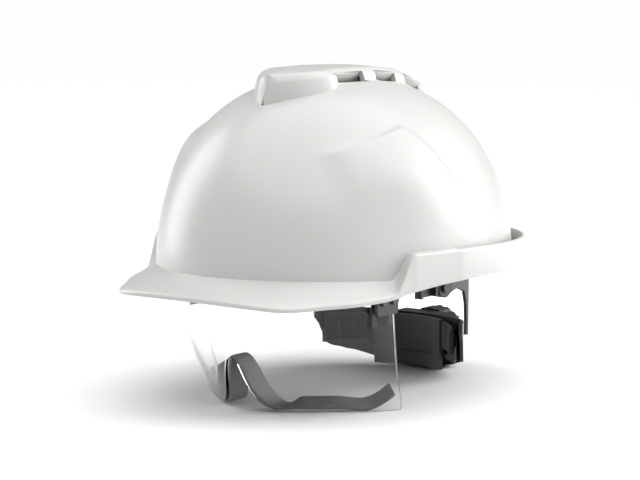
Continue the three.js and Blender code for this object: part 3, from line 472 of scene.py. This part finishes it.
def edge_sections(bearing):
    foot = dome_point(bearing, math.pi / 2, 0)
    brim_radius, brim_low = brim_edge(bearing)
    inner = plan_radius(bearing, DOME, SHELL_WALL)
    inner_foot = FOOT_SLOPE * -inner * math.cos(bearing)
    brim_high = brim_low + BRIM_EDGE

    def slope(share):
        hollow = math.sin(math.pi * share)
        return lerp(foot[0], brim_radius, share), lerp(foot[1], brim_high, share) - hollow

    brim = [foot, *[slope(share) for share in BRIM_SHARES],
            (brim_radius, brim_high - EDGE_ROUND["brim"]), (brim_radius, brim_low),
            (brim_radius - RIM_LIP, brim_low + 0.2), (inner, inner_foot - SHELL_WALL)]
    wall = wall_radius(bearing)
    y = -wall * math.cos(bearing)
    low, high = rim_bottom(y), gutter_top(y)
    floor = high - GUTTER_DEPTH
    on_top = dome_point(bearing, dome_turn(bearing, high, 0), 0)
    under = [(wall, low), (wall - RIM_LIP, low), (inner, low)]
    edge = EDGE_ROUND["block"]
    block = [on_top, (lerp(on_top[0], wall, 0.35), high), (lerp(on_top[0], wall, 0.7), high),
             (wall - edge, high), (wall, high - edge), *under]
    on_floor = dome_point(bearing, dome_turn(bearing, floor, 0), 0)
    edge = EDGE_ROUND["gutter"]
    gutter = [on_floor, (wall - GUTTER_WALL, floor), (wall - GUTTER_WALL, high), (wall - edge, high),
              (wall, high - edge), *under]
    degrees = math.degrees(bearing)
    to_block = smooth(degrees, BLOCK["start"], BLOCK["ramp"])
    to_gutter = min(1.0, max(0.0, (degrees - BLOCK["end"]) / (BLOCK["drop"] - BLOCK["end"])))
    if to_gutter > 0:
        section = mix_sections(block, gutter, to_gutter)
    else:
        section = mix_sections(brim, block, to_block)
    return rounded_section(section, [0, 1.2, 1.2, 1.4, 1.4, 1.0, 1.0, 0])


def side_panel(x, y, z):
    """How far the raised panel on the shell's side stands out. Its upper edge is a crisp ledge."""
    ledge = PANEL["ledge_z"] + PANEL["ledge_slope"] * (y - PANEL["ledge_y"])
    below = (1 - min(1.0, max(0.0, (z - ledge) / PANEL["ledge_width"]))) ** 2
    rear = np.interp(z, PANEL["rear_z"], PANEL["rear_y"])
    ahead = 1 - smooth(y, rear - PANEL["rear_ahead"], rear + PANEL["rear_behind"])
    front = 1 - smooth(y, PANEL["turn_start"], PANEL["turn_end"])
    fade = smooth(y, PANEL["front_start"], PANEL["front_end"])
    fade *= smooth(z, lerp(*PANEL["fade_low"], front), lerp(*PANEL["fade_high"], front))
    fade *= smooth(abs(x), PANEL["inner_start"], PANEL["inner_end"])
    return PANEL["height"] * below * ahead * fade


def shell_bearings():
    """Bearings all round the shell, closer together where the brim turns into the gutter."""
    coarse, fine = 1.5, 0.75
    fine_start, fine_end = BLOCK["start"], BLOCK["drop"] + 1
    spans = [np.arange(0, fine_start, coarse), np.arange(fine_start, fine_end, fine),
             np.arange(fine_end, 180, coarse)]
    half = sorted(set(np.round(np.concatenate(spans), 3)))
    return [math.radians(b) for b in half] + [math.pi] + [-math.radians(b) for b in half[:0:-1]]


def dome_and_rim():
    """The shell's closed skin. Each bearing has a column of points, down the outside and up the inside."""
    outer_rows, inner_rows = 140, 16
    points = []
    bearings = shell_bearings()
    for bearing in bearings:
        sin, cos = math.sin(bearing), math.cos(bearing)
        edge = edge_sections(abs(bearing))
        turn = dome_turn(bearing, edge[0][1], 0)
        column = []
        for i in range(2, outer_rows):
            lean = turn * i / outer_rows
            radius, z = dome_point(bearing, lean, 0)
            out = side_panel(radius * sin, -radius * cos, z)
            column.append((radius + out * math.sin(lean), z + out * math.cos(lean)))
        column += edge
        for i in range(inner_rows, 0, -1):
            column.append(dome_point(bearing, math.pi / 2 * i / inner_rows, SHELL_WALL))
        per_column = len(column)
        points += [(radius * sin, -radius * cos, z) for radius, z in column]
    count = len(bearings)
    top, inside = len(points), len(points) + 1
    points += [(0, 0, DOME["height"]), (0, 0, DOME["height"] - SHELL_WALL)]
    faces = []
    for i in range(count):
        a, b = i * per_column, (i + 1) % count * per_column
        faces += [(top, b, a), (inside, a + per_column - 1, b + per_column - 1)]
        faces += [(a + j, b + j, b + j + 1, a + j + 1) for j in range(per_column - 1)]
    return points, faces


def crest_at(y, column):
    """Half width (column 1) or top height (column 2) of the crest. Its front widens along one curve."""
    if column == 1 and y < CREST_FRONT["shoulder"]:
        ahead = (CREST_FRONT["shoulder"] - y) / CREST_FRONT["reach"]
        return CREST_FRONT["width"] * (1 - ahead ** CREST_FRONT["power"]) ** CREST_FRONT["side_power"]
    return float(np.interp(y, [c[0] for c in CREST], [c[column] for c in CREST]))


def crest_body(inset):
    stations = [c[0] for c in CREST]
    ys = sorted(set(stations + [round(v, 2) for v in np.linspace(stations[0], stations[-1], 60)]))
    rings = []
    for y in ys:
        end = 1 if y == stations[0] else -1 if y == stations[-1] else 0
        station = y + end * inset * 1.4
        half, top = crest_at(y, 1), crest_at(y, 2)
        foot = max(1.5, half - inset)
        shoulder = max(1.0, foot - min(5.0, (top - dome_height(half, y)) * 0.4))
        drop = 4 * SHELL_WALL if inset > 0 else SHELL_WALL / 2
        under = [(k * foot, dome_height(k * foot, station) - drop) for k in (1, 0.5, 0, -0.5, -1)]
        high = max(top - inset, dome_height(0, station) - drop + 1)
        low = dome_height(foot, station) - drop
        edge, edge_z = shoulder + CREST_TOP["edge_out"], high - CREST_TOP["edge_drop"]
        flat, flat_z = shoulder - CREST_TOP["flat_in"], high - CREST_TOP["flat_drop"]
        side = [(-foot, low), (-edge, edge_z), (-flat, flat_z), (0, high + CREST_TOP["crown"]),
                (flat, flat_z), (edge, edge_z), (foot, low)]
        corner = CREST_TOP["corner"]
        radii = [0, corner, corner, CREST_TOP["middle"], corner, corner, 0]
        over = rounded_section(side, radii, 4)[1:-1]
        rings.append([(x, station, z) for x, z in under + over])
    return lofted(rings)


def vent_frame(span):
    """Tilt, middle, height and length of a vent, which follows the crest's upper edge."""
    start, end = span
    tilt = math.atan2(crest_at(end, 2) - crest_at(start, 2), end - start)
    middle = (start + end) / 2
    height = crest_at(middle, 2) - VENT_BELOW - VENT_HEIGHT / 2
    return tilt, middle, height, (end - start) / math.cos(tilt)


def vent_mesh(span, side):
    tilt, middle, height, length = vent_frame(span)
    centre = (side * (crest_at(middle, 1) - VENT_INSET), middle, height - VENT_INSET)
    return box_mesh(centre, (VENT_REACH, length, VENT_HEIGHT), Matrix.Rotation(tilt, 3, "X"))


def vent_baffle(span, side):
    """A slanted plate behind a vent, with air gaps above and below it."""
    tilt, middle, height, length = vent_frame(span)
    lean = Matrix.Rotation(side * math.radians(BAFFLE["lean"]), 3, "Y")
    centre = (side * (crest_at(middle, 1) - BAFFLE["inset"]), middle, height - BAFFLE["lower"])
    size = (BAFFLE["thickness"], length + BAFFLE["longer"], VENT_HEIGHT + BAFFLE["taller"])
    return box_mesh(centre, size, Matrix.Rotation(tilt, 3, "X") @ lean)


def radial_box(bearing, radial, sideways, height):
    centre = ((sideways[0] + sideways[1]) / 2, (radial[0] + radial[1]) / 2, (height[0] + height[1]) / 2)
    size = (sideways[1] - sideways[0], radial[1] - radial[0], height[1] - height[0])
    points, faces = box_mesh(centre, size)
    turn = Matrix.Rotation(math.pi + math.radians(bearing), 3, "Z")
    return [turn @ p for p in points], faces


def inner_radius(bearing, height):
    angle = math.radians(bearing)
    return dome_point(angle, dome_turn(angle, height, SHELL_WALL), SHELL_WALL)[0]


def key_socket(bearing, low):
    """The block of a suspension key's socket inside the shell, and the slot cut down through it."""
    high = low + SOCKET["height"]
    inside = inner_radius(abs(bearing), high) - SOCKET["depth"]
    half, slot_half, over = SOCKET["half"], SOCKET["slot_half"], SOCKET["slot_over"]
    block = radial_box(bearing, (inside, inside + SOCKET["reach"]), (-half, half), (low, high))
    slot_radii = (inside + SOCKET["slot_near"], inside + SOCKET["slot_far"])
    return block, radial_box(bearing, slot_radii, (-slot_half, slot_half), (low - over, high + over))


def accessory_slot(side):
    """The cut for the accessory slot under the rim block."""
    turn = Matrix.Rotation(math.radians(side * SLOT["turn"]), 3, "Z")
    height = rim_bottom(SLOT["y"]) + SLOT["depth"] / 2 - SLOT["below"] / 2
    size = (SLOT["width"], SLOT["length"], SLOT["depth"] + SLOT["below"])
    return box_mesh((side * SLOT["x"], SLOT["y"], height), size, turn)


def build_shell():
    shell = new_piece("shell_skin", *dome_and_rim(), "helmet", "shell_white", WHITE, ["shell"])
    sockets, slots = [], []
    for side in (1, -1):
        for bearing, low in KEYS.values():
            socket, slot = key_socket(side * bearing, low)
            sockets.append(socket)
            slots.append(slot)
    boolean(shell, "UNION", tool_object("crest_tool", crest_body(0)))
    boolean(shell, "UNION", *[tool_object("socket_tool", s) for s in sockets])
    cuts = [crest_body(SHELL_WALL), *slots]
    cuts += [vent_mesh(span, side) for span in VENTS for side in (1, -1)]
    cuts += [accessory_slot(side) for side in (1, -1)]
    boolean(shell, "DIFFERENCE", *[tool_object("cut_tool", c) for c in cuts])
    shade(shell, 30)
    baffles = merge_meshes(*[vent_baffle(span, side) for span in VENTS for side in (1, -1)])
    baffle_plates = new_piece("vent_baffles", *baffles, "helmet", "shell_white", WHITE)
    bevel(baffle_plates, 0.3)


build_shell()


# ------------------------------------------------------------ eye shield and seal
def shield_point(turn, z):
    ridge = smooth(-z, SHIELD["ridge_start"], SHIELD["ridge_end"])
    power = lerp(SHIELD["power"], SHIELD["low_power"], ridge)
    down = min(1.0, max(0.0, z / SHIELD["bottom"]))
    front = SHIELD["front"] + SHIELD["tuck"] * down ** SHIELD["tuck_power"]
    rear = SHIELD["rear"] + SHIELD["flare"] * smooth(-z, SHIELD["flare_start"], -SHIELD["bottom"])
    sin, cos = math.sin(turn), max(0.0, math.cos(turn))
    return Vector((math.copysign(SHIELD["half"] * abs(sin) ** (2 / power), sin),
                   rear - (rear - front) * cos ** (2 / power), z))


def shield_bottom(x):
    fall = min(1.0, (math.hypot(x, NOSE["round"]) - NOSE["round"]) / NOSE["foot"])
    nose = NOSE["rise"] * (1 - fall) ** NOSE["power"]
    return SHIELD["bottom"] + nose - CORNER["drop"] * smooth(abs(x), CORNER["start"], CORNER["end"])


def shield_surface(s, t):
    turn = lerp(-math.pi / 2, math.pi / 2, min(1.0, max(0.0, s)))
    low = shield_bottom(shield_point(turn, SHIELD["edge_section"]).x)
    return shield_point(turn, lerp(low, SHIELD["top"], t))


def seal_point(s, t):
    turn = lerp(-math.pi / 2, math.pi / 2, min(1.0, max(0.0, s)))
    base = shield_surface(s, 0)
    nose = 1 - smooth(abs(base.x), SEAL["leg_end"], SEAL["side_start"])
    lift = SEAL["end_lift"] * smooth(abs(turn), SEAL["lift_start"], SEAL["lift_end"])
    edge = shield_point(turn, base.z + SEAL["foot"] + lift)
    reach = lerp(SEAL["side_reach"], SEAL["nose_reach"], nose)
    to_face = Vector((-base.x * (1 - nose), reach, 0)).normalized()
    leg = lerp(SEAL["crown"], SEAL["leg"], smooth(abs(base.x), 0, SEAL["crown_end"]))
    depth = SHIELD["wall"] + SEAL["clear"] + t * lerp(SEAL["side"], leg, nose)
    rise = t * SEAL["rise"] * (1 - nose)
    return Vector((edge.x + to_face.x * depth, edge.y + to_face.y * depth, edge.z + rise))


def lens_surface(s, t):
    return shield_surface(lerp(SHIELD["trim"], 1 - SHIELD["trim"], s), t)


def seal_surface(s, t):
    return seal_point(lerp(SEAL["start"], 1 - SEAL["start"], s), t)


def build_shield():
    lens_mesh = sheet_points(lens_surface, 150, 28, SHIELD["wall"])
    lens = new_piece("clear_lens", *lens_mesh, "shield", "clear_lens", CLEAR, ["lens"])
    bevel(lens, 0.6)
    seal_mesh = sheet_points(seal_surface, 150, 8, SEAL["wall"])
    seal = new_piece("face_seal", *seal_mesh, "shield", "soft_seal", RUBBER, ["lower_seal"])
    bevel(seal, 0.7, 3)


def lens_clips():
    """A thin plate on each side of the lens, where the shield arm holds it."""
    for side, name in ((1, "left"), (-1, "right")):
        plate = box_mesh((side * CLIP["x"], CLIP["y"], CLIP["z"]), CLIP["size"])
        clip = new_piece(f"lens_clip_{name}", *plate, "shield", "black_plastic", BLACK)
        bevel(clip, 0.7, 3)


build_shield()
lens_clips()


# ------------------------------------------------------------ soft goods
def band_point(bearing, z, inset=0.0):
    angle = math.radians(bearing)
    length = HEADBAND["front"] if math.cos(angle) > 0 else HEADBAND["rear"]
    return Vector(((HEADBAND["half"] - inset) * math.sin(angle),
                   HEADBAND["centre"] - (length - inset) * math.cos(angle), z))


def nape_point(bearing, radius, z):
    angle = math.radians(bearing)
    return Vector((radius * math.sin(angle), NAPE["centre"] + radius * math.cos(angle), z))


def radial_point(bearing, radius, z):
    angle = math.radians(bearing)
    return Vector((radius * math.sin(angle), -radius * math.cos(angle), z))


def crown_profile(t, edge=0.28, power=3.0):
    """Thickness across a stuffed strip: full in the middle, thin at the sewn edges."""
    return edge + (1 - edge) * (1 - abs(2 * t - 1) ** power) ** 0.5


def groove(value, lines, width, depth):
    """Factor that thins a pad near the given lines."""
    nearest = min(abs(value - line) for line in lines)
    return 1 - depth * math.exp(-((nearest / width) ** 2))


def padded_piece(name, surface, columns, rows, middle, thickness, lines, body, replaced):
    """A crowned pad on a surface, with sewn channels across it at the given shares of its length."""
    step = 1e-3
    end_power, channel_width, channel_depth = 14, 0.012, 0.5
    points = []
    for face in (-1, 1):
        for i in range(columns + 1):
            for j in range(rows + 1):
                s, t = i / columns, j / rows
                along = surface(s + step, t) - surface(s - step, t)
                across = surface(s, t + step) - surface(s, t - step)
                normal = along.cross(across).normalized()
                crown = crown_profile(s, power=end_power) * crown_profile(t)
                half = thickness / 2 * crown * groove(s, lines, channel_width, channel_depth)
                points.append(surface(s, t) - normal * (middle + face * half))
    faces = sheet_points(surface, columns, rows, thickness)[1]
    pad = new_piece(name, points, faces, body, "soft_foam", FOAM, [replaced])


def stitch_row(surface, track, length, pitch, depth):
    """Thread stitches on a surface along a track of (s, t) places, each a short bar."""
    step, width, height = 1e-3, 0.55, 0.4
    parts = []
    points = [surface(*place_at) for place_at in track]
    travelled = 0.0
    for k in range(len(points) - 1):
        a, b = points[k], points[k + 1]
        travelled += (b - a).length
        if travelled < pitch:
            continue
        travelled = 0.0
        s, t = track[k]
        along = (b - a).normalized()
        across_s = surface(s + step, t) - surface(s - step, t)
        across_t = surface(s, t + step) - surface(s, t - step)
        normal = across_s.cross(across_t).normalized()
        side = normal.cross(along).normalized()
        turn = Matrix((along, side, normal)).transposed()
        parts.append(box_mesh(a - normal * depth, (length, width, height), turn))
    return parts


def sweatband():
    low, high, span = -4.0, 29.0, 58.0
    inset = HEADBAND["thickness"] + 0.8

    def surface(s, t):
        return band_point(lerp(-span, span, s), lerp(low, high, t), inset)

    channels = 8
    lines = [k / channels for k in range(1, channels)]
    padded_piece("sweatband_pad", surface, 160, 14, 2.0, 4.0, lines, "helmet", "sweatband")
    length, pitch, depth = 2.0, 2.9, 3.1
    rows = []
    for t in (0.09, 0.91):
        track = [(lerp(0.02, 0.98, k / 600), t) for k in range(601)]
        rows.append(stitch_row(surface, track, length, pitch, depth))
    new_piece("sweatband_stitching", *merge_meshes(*sum(rows, [])), "helmet", "webbing", THREAD, flat=True)


def nape_pads():
    for side, name in ((1, "left"), (-1, "right")):
        def surface(s, t, side=side):
            share = s if side > 0 else 1 - s
            bearing = side * lerp(NAPE_PAD["near"], NAPE_PAD["far"], share)
            height = lerp(NAPE_PAD["low"], NAPE_PAD["high"], t)
            return nape_point(bearing, NAPE["radius"] - NAPE_PAD["inset"], height)

        padded_piece(f"nape_cushion_{name}", surface, 44, 16, -1.5, 3.0, [0.34, 0.66], "nape",
                     f"nape_pad_{name}")


def crown_disc_point(s, t):
    """Middle surface of the crown pad: a shallow dome, s round it and t outwards."""
    angle = 2 * math.pi * s
    reach = CROWN_PAD["radius"] * t
    height = CROWN_PAD["top"] - CROWN_PAD["half"] - CROWN_PAD["sag"] * t ** CROWN_PAD["sag_power"]
    return Vector((reach * math.cos(angle), CROWN_PAD["centre_y"] + reach * math.sin(angle), height))


def crown_disc_half(s, t):
    """Half thickness of the crown pad, with a sewn ring and sewn spokes."""
    ring_at, thin = 0.3, 0.16
    seam = groove((s * CROWN_PAD["segments"]) % 1, [0, 1], 0.05, 0.45) if t > ring_at else 1
    ring = groove(t, [ring_at], 0.035, 0.5)
    edge = math.sqrt(max(0.0, 1 - t**6))
    return CROWN_PAD["half"] * (thin + (1 - thin) * edge) * seam * ring


def crown_disc():
    points, faces, columns, rows = [], [], 96, 22
    for face in (1, -1):
        for j in range(rows + 1):
            t = max(0.02, j / rows)
            for i in range(columns):
                half = crown_disc_half(i / columns, t)
                points.append(crown_disc_point(i / columns, t) + Vector((0, 0, face * half)))
    layer = (rows + 1) * columns
    for face in (0, 1):
        for j in range(rows):
            for i in range(columns):
                a = face * layer + j * columns + i
                b = face * layer + j * columns + (i + 1) % columns
                corners = (a, b, b + columns, a + columns)
                faces.append(corners if face == 0 else (b, a, a + columns, b + columns))
        faces.append(tuple(face * layer + i for i in range(columns)))
    outer = rows * columns
    for i in range(columns):
        k = (i + 1) % columns
        faces.append((outer + i, outer + k, layer + outer + k, layer + outer + i))
    pad = new_piece("crown_cushion", points, faces, "helmet", "soft_foam", FOAM, ["crown_pad"])


def centripetal(points, per_span):
    """A centripetal Catmull-Rom curve through the points."""
    ends = [2 * points[0] - points[1], *points, 2 * points[-1] - points[-2]]
    out = []
    for i in range(1, len(ends) - 2):
        p = ends[i - 1:i + 3]
        knots = [0.0]
        for a, b in zip(p, p[1:]):
            knots.append(knots[-1] + (b - a).length ** 0.5)
        for k in range(per_span):
            t = lerp(knots[1], knots[2], k / per_span)
            first = []
            for m in range(3):
                first.append(p[m].lerp(p[m + 1], (t - knots[m]) / (knots[m + 1] - knots[m])))
            second = []
            for m in range(2):
                second.append(first[m].lerp(first[m + 1], (t - knots[m]) / (knots[m + 2] - knots[m])))
            out.append(second[0].lerp(second[1], (t - knots[1]) / (knots[2] - knots[1])))
    return [*out, points[-1].copy()]


def crown_strap(name, side, crown, replaced):
    """A woven strap from a side key over the crown to the opposite rear key, with its ends box-stitched."""
    width, thickness, gap = 18.0, 1.2, 2
    side_at, side_low = KEYS["side"]
    rear_at, rear_low = KEYS["rear"]
    start = inner_radius(side_at, side_low + SOCKET["height"]) - SOCKET["depth"] - gap
    end = inner_radius(rear_at, rear_low + SOCKET["height"]) - SOCKET["depth"] - gap
    path = centripetal([
        radial_point(side * side_at, start, side_low - 5),
        radial_point(side * side_at, start - 1, side_low + 4),
        radial_point(side * side_at, start * 0.72, 72),
        Vector((side * 8, 12, crown)),
        radial_point(-side * 136, end * 0.55, 74),
        radial_point(-side * rear_at, end - 1, rear_low + 12),
        radial_point(-side * rear_at, end, rear_low - 4),
    ], 30)
    distance = [0.0]
    for a, b in zip(path, path[1:]):
        distance.append(distance[-1] + (b - a).length)

    def along(share):
        at = share * distance[-1]
        return Vector([np.interp(at, distance, [p[axis] for p in path]) for axis in range(3)])

    step, past_end = 0.005, 100

    def surface(s, t):
        share = min(1 - step, max(step, s))
        tangent = (along(share + step) - along(share - step)).normalized()
        point = along(share)
        up = Vector((point.x, point.y, max(6, point.z - 10))).normalized()
        sideways = tangent.cross(up).normalized()
        return point + tangent * (s - share) * past_end + sideways * (t - 0.5) * width

    strap_mesh = sheet_points(surface, 110, 8, thickness)
    strap = new_piece(name, *strap_mesh, "helmet", "webbing", STRAP, [replaced])
    bevel(strap, 0.35, 2)
    rows = []
    length, pitch, depth = 1.8, 2.7, -0.1
    for low, high in ((0.035, 0.1), (0.9, 0.965)):
        for t in (0.15, 0.85):
            track = [(lerp(low, high, k / 60), t) for k in range(61)]
            rows += stitch_row(surface, track, length, pitch, depth)
        for s in (low, high):
            track = [(s, lerp(0.15, 0.85, k / 60)) for k in range(61)]
            rows += stitch_row(surface, track, length, pitch, depth)
    new_piece(f"{name}_stitching", *merge_meshes(*rows), "helmet", "webbing", THREAD, flat=True)


sweatband()
nape_pads()
crown_disc()
crown_strap("woven_strap_upper", 1, 88, "upper_crown_strap")
crown_strap("woven_strap_lower", -1, 85, "lower_crown_strap")

# ------------------------------------------------------------ finishes of the CAD pieces that stay
FINISHES = {
    "webbing": STRAP, "soft_foam": FOAM, "steel": STEEL, "grey_plastic": CHARCOAL, "black_plastic": BLACK,
    "soft_seal": RUBBER, "clear_lens": CLEAR, "shell_white": WHITE,
}
slot_of = {part["node"]: part["material_slot"] for part in frame["record"]["subparts"]}
for name, piece in nodes.items():
    piece.data.materials.clear()
    special = KNOB_BLACK if name == "knob" else DARK_STEEL if name.startswith("arm_screw") else None
    piece.data.materials.append(special or FINISHES[slot_of[name]])


# ------------------------------------------------------------ floor, light and camera
def build_floor(height):
    floor = bpy.data.objects.new("floor", bpy.data.meshes.new("floor"))
    corners = [(-1, -1), (1, -1), (1, 1), (-1, 1)]
    points = [(x * FLOOR_REACH, y * FLOOR_REACH, height) for x, y in corners]
    floor.data.from_pydata(points, [], [(0, 1, 2, 3)])
    bpy.context.scene.collection.objects.link(floor)
    pale, _ = material("pale_floor", (0.72, 0.72, 0.72), 0.9, specular=0.1)
    floor.data.materials.append(pale)


def white_surroundings(strength):
    world = bpy.data.worlds.new("studio")
    bpy.context.scene.world = world
    world.use_nodes = True
    background = world.node_tree.nodes["Background"]
    background.inputs["Color"].default_value = (1, 1, 1, 1)
    background.inputs["Strength"].default_value = strength


def overhead_light(energy, spread, direction):
    data = bpy.data.lights.new("overhead_light", "SUN")
    data.energy = energy
    data.angle = math.radians(spread)
    sun = bpy.data.objects.new("overhead_light", data)
    bpy.context.scene.collection.objects.link(sun)
    sun.rotation_euler = Vector(direction).to_track_quat("-Z", "Y").to_euler()


def area_light(name, place_at, aim, size, power):
    data = bpy.data.lights.new(name, "AREA")
    data.shape = "RECTANGLE"
    data.size, data.size_y = size
    data.energy = power
    lamp = bpy.data.objects.new(name, data)
    bpy.context.scene.collection.objects.link(lamp)
    lamp.location = place_at
    lamp.rotation_euler = (Vector(aim) - Vector(place_at)).to_track_quat("-Z", "Y").to_euler()


def build_camera():
    data = bpy.data.cameras.new("camera")
    camera = bpy.data.objects.new("camera", data)
    bpy.context.scene.collection.objects.link(camera)
    azimuth, elevation = math.radians(CAMERA["azimuth"]), math.radians(CAMERA["elevation"])
    target = Vector(CAMERA["target"])
    towards = Vector((math.sin(azimuth) * math.cos(elevation), -math.cos(azimuth) * math.cos(elevation),
                      math.sin(elevation)))
    camera.location = target + CAMERA["distance"] * towards
    camera.rotation_euler = (target - camera.location).to_track_quat("-Z", "Y").to_euler()
    data.sensor_width = CAMERA["sensor"]
    data.lens = CAMERA["lens"]
    bpy.context.scene.camera = camera


build_floor(cad_box[0][2])
bpy.context.scene.view_settings.view_transform = "Standard"
white_surroundings(strength=0.25)
overhead_light(energy=3.7, spread=95, direction=(-0.2, 0.12, -1))
area_light("rear_left_light", place_at=(0.9, 1.05, 0.5), aim=(0.05, 0.03, 0.05), size=(0.9, 0.9), power=24)
area_light("right_strip", place_at=(-1.25, -0.2, 0.4), aim=(0, 0, 0.03), size=(0.7, 1.2), power=10)
build_camera()
